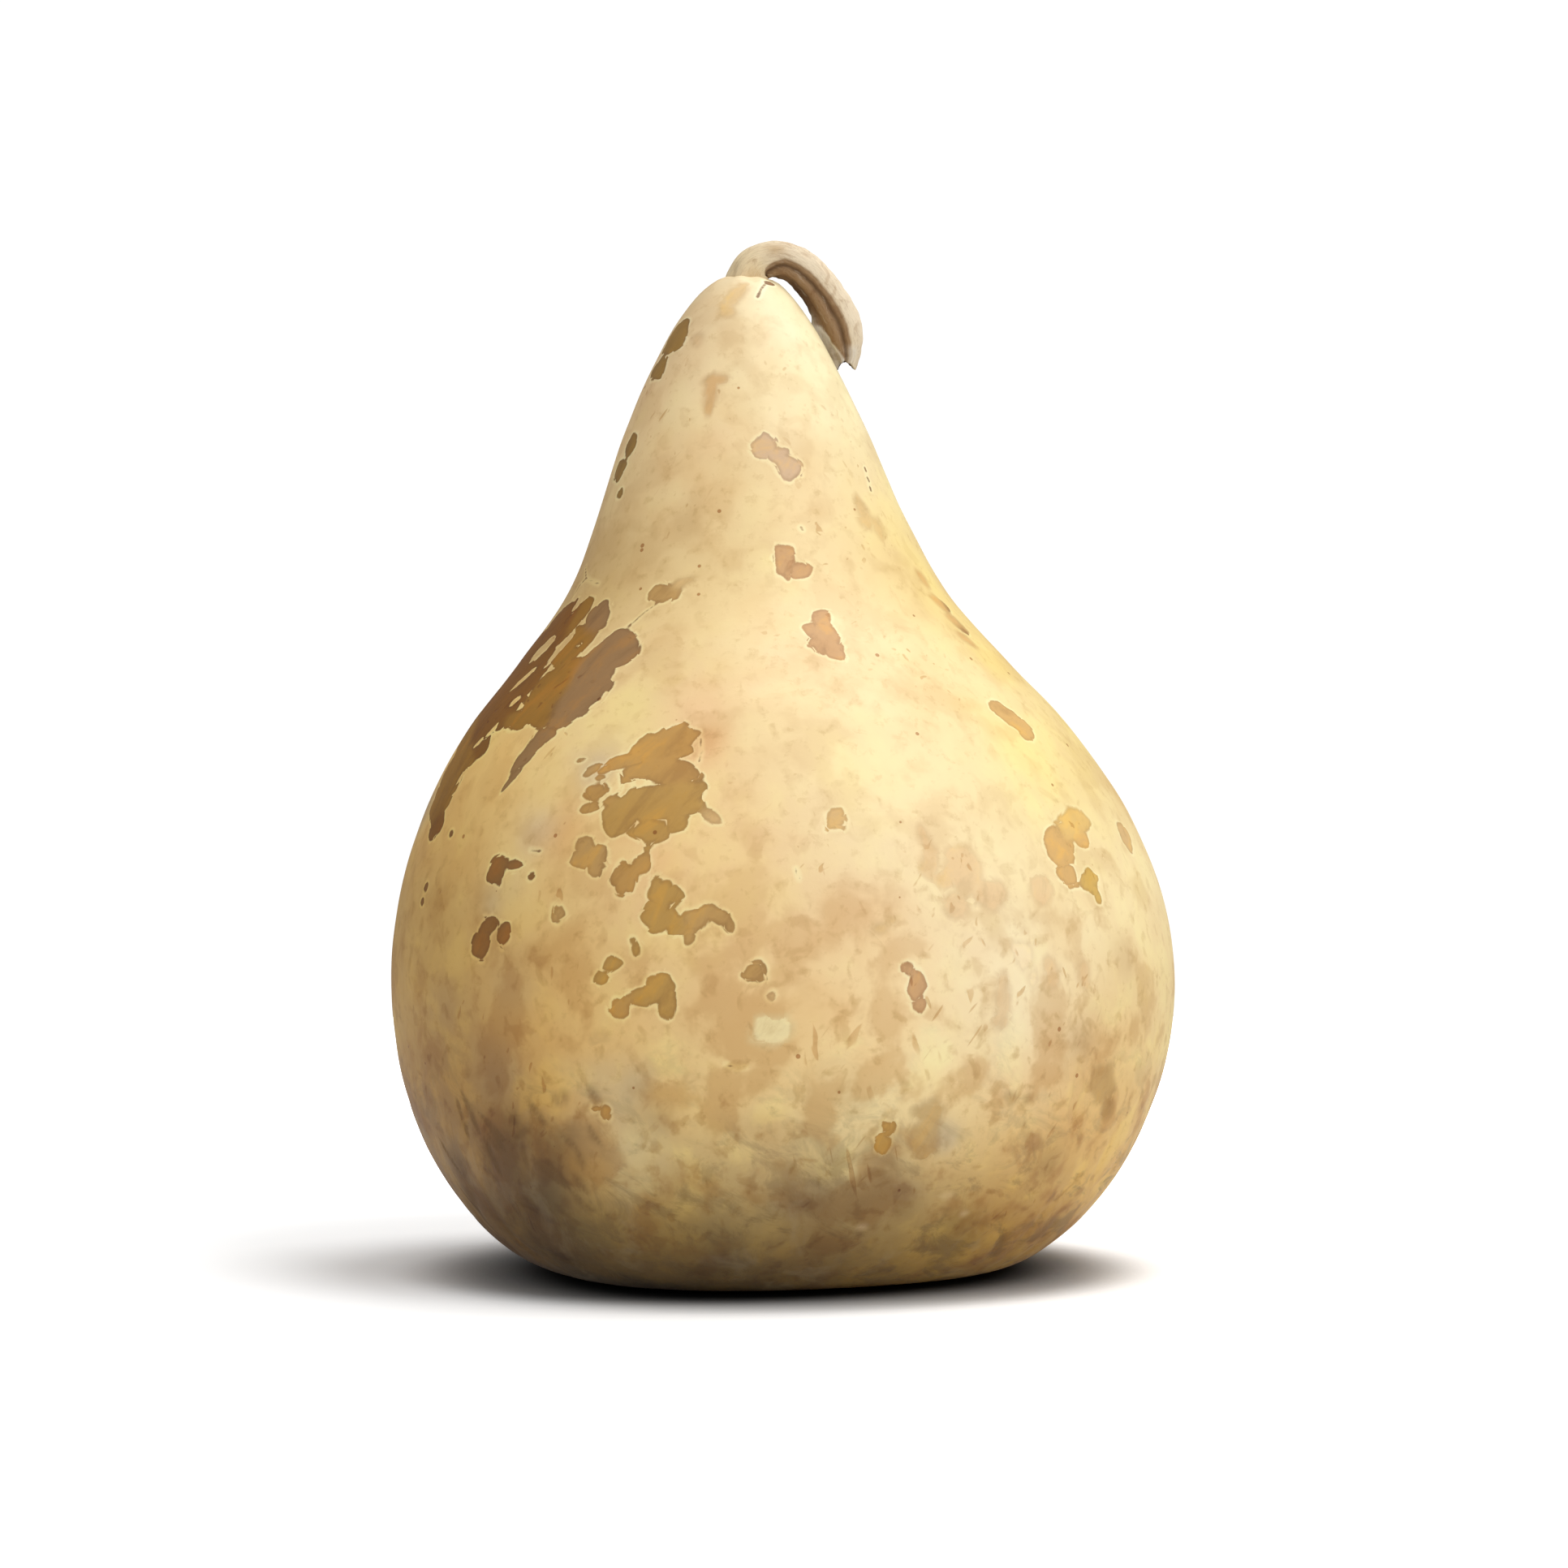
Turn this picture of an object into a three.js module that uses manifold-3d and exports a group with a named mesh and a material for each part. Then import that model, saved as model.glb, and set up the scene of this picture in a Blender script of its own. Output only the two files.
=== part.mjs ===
// A dried bottle gourd: one pear-shaped fruit, and the dry ribbed stem that hooks over its shoulder.
// Millimetres, +Z up, front towards -Y. The origin is the middle of the flat spot the gourd stands on.
import * as THREE from 'three';
import { mergeVertices } from 'three/addons/utils/BufferGeometryUtils.js';
import Module from 'manifold-3d';

// Driving dimensions.
const bellyRadius = 90.5; // half the greatest width, across X
const crownHeight = 229.5; // from the flat spot to the crown, where the stem grows
const stemRadius = 4.6; // half the stem's usual width
const stemGap = 0.3; // between the stem and the rind

// How the fruit departs from a turned shape.
const depthShare = 0.98; // front to back against side to side
const neckLean = -9; // the neck leans this far along X as it rises
const leanSpan = [0.27, 0.95]; // the heights, as shares of crownHeight, between which it leans
const axisShift = new THREE.Vector2(1.2, 4); // the belly's middle, from the middle of the flat spot
const shiftSpan = [0, 0.27]; // the heights between which the middle moves across
const heel = { swell: 0.16, towards: -2, tightness: 6, top: 0.22 }; // a low bulge at the front left
const lobes = [
  { count: 2, depth: 0.01, twist: 0 },
  { count: 3, depth: 0.006, twist: 0.8 },
];

// The fruit's outline, as shares of bellyRadius and crownHeight, from the flat spot up to the crown.
const outline = [
  [0.36, 0], [0.49, 0.0025], [0.592, 0.0078], [0.675, 0.023], [0.793, 0.063], [0.912, 0.133],
  [0.977, 0.207], [1, 0.292], [0.972, 0.375], [0.898, 0.458], [0.78, 0.536], [0.622, 0.61],
  [0.479, 0.682], [0.39, 0.758], [0.313, 0.837], [0.236, 0.904], [0.169, 0.952], [0.098, 0.985],
  [0, 1],
];
const outlineSteps = 46;
const turns = 60; // facets round the fruit

// The stem's middle line, from just under the crown: over the top, then down beside the neck.
const stemRoute = [
  [0.7, 0, -4], [1, 0, -1], [2, 0.1, 1.4], [4.4, 0.3, 2.8], [8, 0.6, 3.2], [12.3, 1, 1.6],
  [16.1, 1.4, -1.9], [19.4, 1.9, -6.8], [21.6, 2.4, -11.3], [22.8, 2.8, -16.5], [23.3, 3.2, -22.2],
];
const stemGirths = [0.95, 0.85, 0.86, 0.91, 0.96, 1, 1.08, 1.12, 0.9, 0.42]; // shares of stemRadius, evenly along it
const stemDepth = 0.86; // front to back against the width
const stemRibs = 5;
const ribHeight = 0.1; // share of the stem's radius
const stemSteps = 36;
const pointsRound = 25;

const rind = new THREE.MeshStandardMaterial({ color: 0xe6c88c, roughness: 0.55, metalness: 0 });
const driedStem = new THREE.MeshStandardMaterial({ color: 0xa98f6c, roughness: 0.75, metalness: 0 });

const wasm = await Module();
wasm.setup();

// The middle of the fruit's section at a height, which is a share of crownHeight.
function middleAt(rise) {
  const { smoothstep } = THREE.MathUtils;
  const across = smoothstep(rise, ...shiftSpan);
  const lean = neckLean * smoothstep(rise, ...leanSpan);
  return new THREE.Vector2(axisShift.x * across + lean, axisShift.y * across);
}

// How much wider than the turned outline the fruit is, in one direction at one height.
function swellAt(angle, rise) {
  const sine = Math.sin(angle);
  let swell = 1 - (1 - depthShare) * sine * sine;
  for (const { count, depth, twist } of lobes) {
    swell += depth * Math.sin(count * angle) * Math.sin(Math.PI * rise + twist);
  }
  const facing = Math.max(0, Math.cos(angle - heel.towards)) ** heel.tightness;
  return swell + heel.swell * facing * (1 - THREE.MathUtils.smoothstep(rise, 0, heel.top));
}

// The rind's surface, closed by the flat spot below. Clearance moves it out along its normals.
function fruitGeometry(clearance = 0) {
  const profile = outline.map(([r, z]) => new THREE.Vector3(r * bellyRadius, z * crownHeight, 0));
  const smooth = new THREE.CatmullRomCurve3(profile).getPoints(outlineSteps);
  const turned = [new THREE.Vector2(0, 0), ...smooth.map((p) => new THREE.Vector2(Math.max(p.x, 0), p.y))];
  const geometry = new THREE.LatheGeometry(turned, turns).rotateX(Math.PI / 2);
  const position = geometry.attributes.position;
  const point = new THREE.Vector3();
  for (let i = 0; i < position.count; i++) {
    point.fromBufferAttribute(position, i);
    const rise = point.z / crownHeight;
    const middle = middleAt(rise);
    const swell = swellAt(Math.atan2(point.y, point.x), rise);
    position.setXYZ(i, middle.x + point.x * swell, middle.y + point.y * swell, point.z);
  }
  return clearance ? grown(welded(geometry), clearance) : geometry;
}

// The same geometry with its shared vertices merged, position only.
function welded(geometry) {
  const bare = new THREE.BufferGeometry().setAttribute('position', geometry.getAttribute('position'));
  bare.setIndex(geometry.index);
  return mergeVertices(bare, 1e-3);
}

// A welded geometry with each vertex moved out along its normal.
function grown(geometry, distance) {
  geometry.computeVertexNormals();
  const { position, normal } = geometry.attributes;
  const point = new THREE.Vector3();
  const outwards = new THREE.Vector3();
  for (let i = 0; i < position.count; i++) {
    outwards.fromBufferAttribute(normal, i);
    point.fromBufferAttribute(position, i).addScaledVector(outwards, distance);
    position.setXYZ(i, point.x, point.y, point.z);
  }
  return geometry;
}

// A ribbed section one unit in radius, drawn along a unit prism and then bent to the stem's route.
function stemGeometry() {
  const section = new THREE.Shape();
  for (let i = 0; i < pointsRound; i++) {
    const angle = (2 * Math.PI * i) / pointsRound;
    const radius = 1 + ribHeight * Math.cos(stemRibs * angle);
    section[i ? 'lineTo' : 'moveTo'](radius * Math.cos(angle), stemDepth * radius * Math.sin(angle));
  }
  const prism = new THREE.ExtrudeGeometry(section, { depth: 1, steps: stemSteps, bevelEnabled: false });

  const crown = middleAt(1);
  const route = new THREE.CatmullRomCurve3(
    stemRoute.map(([x, y, z]) => new THREE.Vector3(crown.x + x, crown.y + y, crownHeight + z)),
  );
  const girth = new THREE.SplineCurve(stemGirths.map((g) => new THREE.Vector2(0, g * stemRadius)));
  const back = new THREE.Vector3(0, 1, 0);
  const position = prism.attributes.position;
  for (let i = 0; i < position.count; i++) {
    const along = position.getZ(i);
    const forward = route.getTangentAt(along);
    const outer = new THREE.Vector3().crossVectors(back, forward).normalize();
    const side = new THREE.Vector3().crossVectors(forward, outer);
    const radius = girth.getPoint(along).y;
    const point = route
      .getPointAt(along)
      .addScaledVector(outer, position.getX(i) * radius)
      .addScaledVector(side, position.getY(i) * radius);
    position.setXYZ(i, point.x, point.y, point.z);
  }
  return prism;
}

function solidOf(geometry) {
  const merged = welded(geometry);
  const vertProperties = new Float32Array(merged.attributes.position.array);
  const triVerts = new Uint32Array(merged.index.array);
  return new wasm.Manifold(new wasm.Mesh({ numProp: 3, vertProperties, triVerts }));
}

function geometryOf(solid) {
  const { vertProperties, triVerts } = solid.getMesh();
  const geometry = new THREE.BufferGeometry();
  geometry.setAttribute('position', new THREE.BufferAttribute(vertProperties, 3));
  geometry.setIndex(new THREE.BufferAttribute(triVerts, 1));
  geometry.computeVertexNormals();
  return geometry;
}

function namedMesh(name, geometry, material) {
  const mesh = new THREE.Mesh(geometry, material);
  mesh.name = name;
  return mesh;
}

// The stem starts inside the crown, and is cut back to the rind with a small gap all round its foot.
function stemOnCrown() {
  return geometryOf(solidOf(stemGeometry()).subtract(solidOf(fruitGeometry(stemGap))));
}

const gourd = new THREE.Group();
gourd.add(namedMesh('gourd_fruit', fruitGeometry(), rind));
gourd.add(namedMesh('stem', stemOnCrown(), driedStem));

export default gourd;
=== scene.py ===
import math
import random

import bmesh
import bpy
import numpy as np
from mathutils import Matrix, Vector, noise
from mathutils.bvhtree import BVHTree


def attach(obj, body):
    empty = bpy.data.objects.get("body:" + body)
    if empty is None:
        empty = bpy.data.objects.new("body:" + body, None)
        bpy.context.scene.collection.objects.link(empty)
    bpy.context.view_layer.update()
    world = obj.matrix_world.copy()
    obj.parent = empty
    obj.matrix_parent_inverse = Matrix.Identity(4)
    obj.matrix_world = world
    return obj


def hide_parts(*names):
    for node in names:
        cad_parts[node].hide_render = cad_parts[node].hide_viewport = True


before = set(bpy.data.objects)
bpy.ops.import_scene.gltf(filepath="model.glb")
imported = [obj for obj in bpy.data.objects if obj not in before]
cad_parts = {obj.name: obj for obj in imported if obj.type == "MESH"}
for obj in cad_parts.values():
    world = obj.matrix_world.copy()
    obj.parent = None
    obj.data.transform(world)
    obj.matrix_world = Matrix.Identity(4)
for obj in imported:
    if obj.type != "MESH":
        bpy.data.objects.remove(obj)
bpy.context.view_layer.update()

millimetre = 0.001
eye = Vector((1.3, -1003, 111.5))  # where the camera stands, in millimetres

# the fruit's shape, in millimetres, and as shares of bellyRadius and crownHeight
fruit = {
    "bellyRadius": 90.5,
    "crownHeight": 229.5,
    "depthShare": 0.98,  # front to back against side to side
    "neckLean": -9,
    "leanSpan": (0.27, 0.95),
    "axisShift": (1.2, 4),
    "shiftSpan": (0, 0.27),
    "heel": {"swell": 0.16, "towards": -2, "tightness": 6, "top": 0.22},
    "lobes": ((2, 0.01, 0), (3, 0.006, 0.8)),  # how many round, how deep, where they start
    "outline": (
        (0.36, 0), (0.49, 0.0025), (0.592, 0.0078), (0.675, 0.023), (0.793, 0.063), (0.912, 0.133),
        (0.977, 0.207), (1, 0.292), (0.972, 0.375), (0.898, 0.458), (0.78, 0.536), (0.622, 0.61),
        (0.479, 0.682), (0.39, 0.758), (0.313, 0.837), (0.236, 0.904), (0.169, 0.952), (0.098, 0.985),
        (0, 1),
    ),
    "rows": 196,  # of faces, from the flat spot to the crown
    "steps": 372,  # round it
    "dents": ((55, 0.5), (21, 0.2), (8, 0.07)),  # how wide and how deep each kind is
    "flatFade": 6,  # the flat spot stays smooth, and the roughness is full at this height
    "creases": {"span": (4, 62), "depth": 0.45, "width": 13, "stretch": (1, 1, 0.45), "narrow": 4},
    "collar": {"shift": 0.8, "radius": 5.95, "width": 2.6, "height": 0.45, "folds": 7},  # at the stem's foot
    "scar": {"radius": 7, "depth": 1.6, "folds": 9, "button": 2.2},  # the blossom's, under the flat spot
    "finishEdge": 1.6,  # the mesh is finer this close to the edge of a patch
}

# colours of the rind as red, green, blue in 0 to 255, and how strongly a patch covers the ground
tones = {
    "umber": ((144, 104, 62), 0.93),
    "bronze": ((150, 102, 18), 0.95),
    "amber": ((128, 78, 2), 0.97),
    "ochre": ((186, 136, 62), 0.9),
    "olive": ((182, 136, 58), 0.9),
    "darkOlive": ((150, 108, 30), 0.92),
    "chestnut": ((134, 84, 24), 0.93),
    "mauve": ((204, 168, 134), 0.86),
    "rose": ((198, 148, 98), 0.88),
    "roseFaint": ((224, 184, 134), 0.58),
    "greyBrown": ((186, 142, 78), 0.9),
    "fawn": ((206, 164, 106), 0.82),
    "goldTan": ((208, 160, 90), 0.87),
    "honey": ((216, 170, 84), 0.76),
    "moss": ((202, 158, 60), 0.84),
    "tan": ((212, 172, 110), 0.6),
    "rust": ((204, 150, 84), 0.62),
    "dusk": ((214, 172, 120), 0.5),
    "shade": ((174, 136, 78), 0.64),
    "soot": ((96, 68, 34), 0.5),
    "flake": ((246, 222, 180), 0.62),
    # the next tone is a painted highlight, laid as a pale round spot on the lower belly
    "cream": ((255, 246, 192), 0.59),
    "crack": ((132, 84, 36), 0.85),
}

# the patches, as they lie when seen from the front: a tone, then blots of across, up, width, height, turn
patches = (
    ("tan", ((-9.8, 224, 4, 6.5, -25), (-12.2, 220.5, 3, 3.4, 0))),
    ("chestnut", ((-2.2, 226.6, 2.6, 1, -5),)),
    ("darkOlive", ((-24.2, 213.6, 4.6, 8, -25), (-27.6, 207.2, 2.6, 6, -22), (-22.4, 216.8, 2.6, 3, 0))),
    ("dusk", ((-18.7, 214, 3, 3, 0),)),
    ("darkOlive", ((-33.9, 189.5, 2.4, 5.6, -18), (-36.4, 183.7, 2.2, 6, -16), (-36.3, 178.3, 1.2, 2.4, 0))),
    ("rust", ((-15.6, 200.4, 2.6, 12, 0), (-14.2, 204.6, 6, 2.4, 0))),
    ("mauve", ((-2.9, 188.7, 6, 5.4, 30), (2.5, 184.3, 6.6, 6.4, -20), (0, 186.8, 5, 4, -35))),
    ("rose", ((1.9, 162.4, 5, 7.4, -8), (4.9, 160.8, 6, 3.2, 15))),
    ("greyBrown", ((-26.3, 155.2, 7.4, 4.4, 25),)),
    ("tan", ((-21.6, 157.8, 6, 2, 25),)),
    (
        "rose",
        (
            (10.7, 145.4, 6.4, 6.6, 0), (10.3, 149.6, 3.6, 3.6, 0), (7.4, 147, 3.8, 3.4, 0),
            (12.6, 142.6, 4.6, 5.4, 20), (9.4, 143, 3, 3, 0),
        ),
    ),
    ("tan", ((19.8, 173.4, 3, 7.5, 10), (22.8, 170.8, 2.4, 5, 0))),
    # the great shoulder patch: umber to the right, then bronze, amber where it runs round the left side
    (
        "umber",
        (
            (-41.7, 149.4, 5, 9, 5), (-37.6, 142, 8.6, 10, -10), (-42.6, 138.4, 12, 13, -20),
            (-46.8, 131.4, 10, 11, 25), (-50, 126.4, 7, 3.4, 10), (-42.6, 132.6, 6, 8, -30),
        ),
    ),
    (
        "bronze",
        (
            (-46.6, 149.6, 3.4, 10, -4), (-47.8, 143, 7, 12, -20), (-52.4, 134, 10, 13, -38),
            (-55.6, 127.6, 9, 6, -20), (-60.6, 126.4, 8, 4.6, -10),
        ),
    ),
    (
        "amber",
        (
            (-51.6, 146.4, 8, 15, -28), (-57.4, 139.4, 12, 15, -38), (-62.6, 132.6, 13, 13, -42),
            (-68, 126.6, 11, 11, -42), (-79, 102, 3.4, 8, -15),
        ),
    ),
    ("bronze", ((-72.4, 120.4, 9, 11, -36), (-75.2, 114.4, 7, 12, -30), (-77.4, 108.4, 5, 12, -22))),
    ("umber", ((-54.6, 122.4, 4.4, 6, -50), (-58, 118.4, 3, 8, -36), (-61.6, 112.6, 1.4, 7, -36))),
    # the two-toned patch below it
    (
        "ochre",
        (
            (-23.6, 122, 11, 6, 12), (-27.4, 119.4, 13, 8, 5), (-35.4, 116.6, 9.4, 3.4, 12),
            (-31.6, 114.6, 10, 5.6, 8), (-25, 114, 12, 6, 0),
        ),
    ),
    (
        "olive",
        (
            (-27.6, 107.6, 20, 10, 2), (-19.8, 109.2, 6, 5.4, 0), (-36.8, 104.4, 8.4, 9.4, 10),
            (-29.2, 101, 7.6, 6.4, 0), (-30, 97.4, 1.8, 4, 0), (-23.6, 102.6, 5, 3, 30),
        ),
    ),
    ("greyBrown", ((-43.2, 114.6, 5, 2, 35), (-45.4, 117, 2.4, 1, 10), (-40.8, 113, 2.4, 1.6, 0))),
    ("ochre", ((-41.9, 109.7, 5.2, 3.4, 10), (-43.6, 105.8, 4.4, 2, 5), (-38.8, 107.4, 3, 2, 30))),
    ("fawn", ((-15.6, 103.9, 4.6, 2.8, -30),)),
    ("greyBrown", ((-43.6, 94.7, 8.6, 5.6, 8), (-44.8, 97.2, 4.4, 3.6, 0), (-41.6, 92.4, 4.6, 4, 0))),
    ("ochre", ((-35.6, 90, 6.6, 6, 30), (-31.6, 93, 5, 3.6, 20), (-36.2, 87.6, 2.6, 3, 0))),
    (
        "olive",
        ((-26.7, 86, 7.2, 6.6, 0), (-27.6, 81.2, 7.8, 6, 0), (-23, 78.4, 4, 3.4, 30), (-27.8, 89, 3, 2.6, 0)),
    ),
    (
        "greyBrown",
        (
            (-20.4, 76.6, 2.8, 4.4, -10), (-19, 80.2, 4, 3.8, 30), (-15.9, 82.2, 5, 3.4, 5),
            (-12.8, 81.2, 4, 3.2, -30), (-11.2, 78.8, 2.2, 3.2, 10),
        ),
    ),
    ("chestnut", ((-64.6, 91.8, 4.6, 6.6, -40), (-60.8, 92.8, 4.6, 2.4, 5), (-56.9, 90.4, 1.4, 1.6, 0))),
    ("chestnut", ((-68.6, 74.6, 3.6, 7.8, -12), (-66.8, 78.8, 5.2, 3.6, 15), (-63, 77, 3, 5, -20))),
    ("greyBrown", ((-50.7, 81.4, 3, 3.6, 20), (-51.4, 83, 1.4, 2, 0))),
    ("chestnut", ((-81.1, 87.8, 1.1, 2.2, 0), (-81.9, 84.3, 1, 2, 0), (-75.4, 100.1, 1.2, 2, 0))),
    ("olive", ((-32.8, 73.4, 2.2, 3.6, 15), (-33.4, 75.4, 2, 1.6, 0))),
    ("olive", ((-38.8, 70, 3.4, 3.4, 10), (-40.6, 66.8, 3.6, 2.8, 25))),
    ("olive", ((-28, 64.4, 8, 6.4, 25), (-25.4, 61.6, 3.8, 7, 0), (-31.4, 62.6, 5, 4, 0))),
    ("ochre", ((-36.8, 60, 4.4, 4.6, 30), (-34.4, 62, 3.4, 2.6, 30))),
    ("greyBrown", ((-6, 68, 5.6, 4.2, 20), (-4.2, 66.8, 2.6, 2.2, 0))),
    # a painted highlight: a pale round spot on the lower belly
    ("cream", ((-1, 55, 8.6, 8, 0),)),
    ("fawn", ((-1.6, 62.6, 2, 1.8, 10),)),
    ("ochre", ((-39.8, 35.8, 2.6, 3.6, 0), (-42.2, 36.8, 3, 0.9, -10))),
    ("tan", ((-41.3, 53.2, 4, 3, 20),)),
    ("fawn", ((13.1, 103.6, 4.8, 4.8, 0), (14.2, 105, 2.6, 2, 20))),
    ("rose", ((32, 65.4, 4.6, 8, -8), (29.6, 69, 2.4, 3, 0), (32.6, 60.8, 2.4, 3.4, 0))),
    ("goldTan", ((53.6, 126.8, 4.2, 10.6, 42), (50.8, 129.4, 3, 3, 0), (57, 122.8, 2.4, 3, 30))),
    ("honey", ((68.4, 103.2, 6.4, 5.4, 0), (66.4, 101, 4, 4, 0))),
    ("goldTan", ((64.8, 97.6, 6.4, 9.6, 8), (66.6, 90.8, 5, 6, 10), (70, 99, 3, 4, 0))),
    ("moss", ((71.6, 89.6, 4, 4.6, 15), (73.4, 86.4, 2, 5, 15))),
    ("fawn", ((80.2, 99.4, 2.6, 7, 15),)),
    ("roseFaint", ((60.8, 87.2, 5, 7, 10),)),
    ("dusk", ((35, 93.6, 4.6, 6.4, -20), (33.6, 99, 2, 6, 8), (37.4, 89.4, 4, 4, 0))),
    ("roseFaint", ((43, 92, 9, 12, 20), (48.6, 86.4, 7, 8, 0), (41, 84, 6, 6, 0))),
    (
        "rust",
        (
            (33.4, 158.8, 1.4, 4.6, 20), (37.4, 153, 1.6, 5.4, 28), (40.8, 149, 2, 5, 34),
            (43.6, 144.8, 1.4, 4.4, 34),
        ),
    ),
    ("chestnut", ((42.4, 147.4, 1.2, 3, 34), (38.6, 152.4, 1, 2.6, 28))),
    ("tan", ((23.7, 78.2, 4.6, 3, 10), (26, 80, 2, 2, 0))),
    (
        "dusk",
        ((51.6, 64, 3.6, 10.6, 0), (51.5, 57.6, 4.6, 5.6, 0), (63, 68, 4, 8, 20), (70.6, 67.4, 3, 7, 0)),
    ),
    ("flake", ((56.4, 71.8, 4.4, 7.6, 20), (58.6, 67, 2.6, 4, 0))),
    ("olive", ((25.1, 32.6, 3.2, 3.4, 45), (23.6, 28.6, 3, 5, 20))),
    ("shade", ((34.8, 36.3, 8, 6, 10), (33.8, 29.6, 7, 9, 0))),
    ("shade", ((53.8, 38.9, 2.4, 3, 20), (57, 38.6, 2, 1.2, 40))),
    ("shade", ((74.4, 42.4, 6, 9, -12), (76, 36.6, 3.4, 5, -15))),
    ("dusk", ((68.8, 40.8, 2.4, 11, -8),)),
    ("soot", ((-59.1, 30.9, 3, 1.6, 30), (-65.8, 29.2, 4, 1.4, -40))),
    ("flake", ((19.3, 9.3, 1.2, 0.7, 0), (38.9, 16.7, 1.6, 0.8, 20), (42.8, 12.6, 1.2, 0.8, 0))),
)

# bare ground left inside a patch: across, up, width, height, turn
bareSlits = (
    (4.4, 163.4, 1.4, 2.2, -30), (-50.3, 142.6, 1.6, 10, -16), (-54.2, 142.8, 2, 9, -36),
    (-58.9, 135.6, 1.2, 6, -40), (-60.6, 130.6, 1.6, 4.4, -50), (-46.2, 143.3, 1.1, 1.2, 0),
    (-43.9, 142.5, 1.1, 1.1, 0), (-42.8, 135.2, 0.9, 1, 0), (-58.2, 124.8, 1.2, 1.3, 0),
    (-66.4, 123.4, 1, 4, -40), (-46.2, 153.2, 1.6, 5, 10), (-35.6, 109.6, 2.4, 5, -35),
    (-34, 111.6, 7, 1.4, 15), (-72.6, 113.6, 0.9, 4, -30), (-69, 121, 0.8, 3, -40),
)

# thin cracks and dark threads: a thickness, then the points they run through
cracks = (
    (0.55, ((-2.6, 226.9), (-4, 225.4), (-4.8, 223.6))),
    (0.4, ((-44.3, 161.6), (-44.3, 158.8), (-41.3, 157.5))),
    (0.35, ((-44.3, 158.8), (-46, 157), (-47.2, 154.6))),
    (0.4, ((-27.9, 153), (-31, 150.9), (-34.4, 147.9))),
    (0.9, ((-57.2, 121.6), (-59.6, 117), (-62.4, 112))),
    (0.6, ((20.1, 184.4), (20.4, 183.6))),
    (0.6, ((20.6, 182.2), (21, 181.4))),
    (0.7, ((21.2, 180), (21.4, 179.2))),
    (0.5, ((5.2, 170.4), (5.5, 170.1))),
    (0.5, ((-57, 96.4), (-54.8, 96))),
    (0.35, ((-18, 122), (-17.6, 119), (-18.2, 116.6))),
    (0.3, ((4, 92), (4.8, 89.6))),
    (0.3, ((-12, 47), (-9.6, 46), (-7.4, 46.4))),
)

# the ground: across, up, red, green, blue. Besides the rind's own tone, these hold painted shade, darker down
# the left side and nearly black at the foot of the underside, and painted light, paler on the crown and the
# right side. The back repeats the front, mirrored front to back
groundAndShadingTones = (
    (-7, 226, 228, 210, 174), (-20, 212, 232, 186, 128), (0, 205, 252, 248, 206), (10, 215, 250, 236, 188),
    (-25, 188, 250, 220, 164), (0, 182, 236, 206, 152), (20, 186, 234, 210, 160), (-38, 160, 216, 182, 120),
    (-10, 158, 238, 210, 152), (15, 150, 242, 220, 170), (32, 158, 229, 199, 130),
    (-30, 135, 232, 201, 146), (10, 125, 238, 212, 158), (42, 130, 246, 224, 170), (66, 112, 232, 204, 136),
    (-70, 110, 242, 200, 120), (-50, 105, 250, 220, 152), (-15, 92, 242, 202, 146), (20, 98, 239, 214, 167),
    (50, 96, 241, 219, 168), (76, 90, 245, 224, 176), (-80, 75, 200, 160, 89), (-55, 66, 228, 187, 114),
    (-15, 58, 234, 198, 138), (25, 60, 249, 218, 164), (60, 62, 255, 242, 204), (82, 62, 238, 210, 150),
    (-70, 38, 162, 122, 65), (-42, 34, 246, 200, 118), (-8, 34, 246, 216, 150), (25, 30, 255, 236, 178),
    (56, 34, 232, 192, 126), (74, 38, 220, 176, 98), (-55, 14, 70, 48, 12), (-20, 10, 126, 98, 44),
    (12, 12, 144, 106, 36), (45, 12, 186, 145, 69), (-20, -1.5, 13, 8, 4), (15, 2, 90, 66, 22),
    (40, 4, 155, 120, 44),
)
groundReach = 15  # how far a ground colour reaches
groundFloor = 0.0001  # the least share each ground colour has, so that no place is left without one
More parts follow.
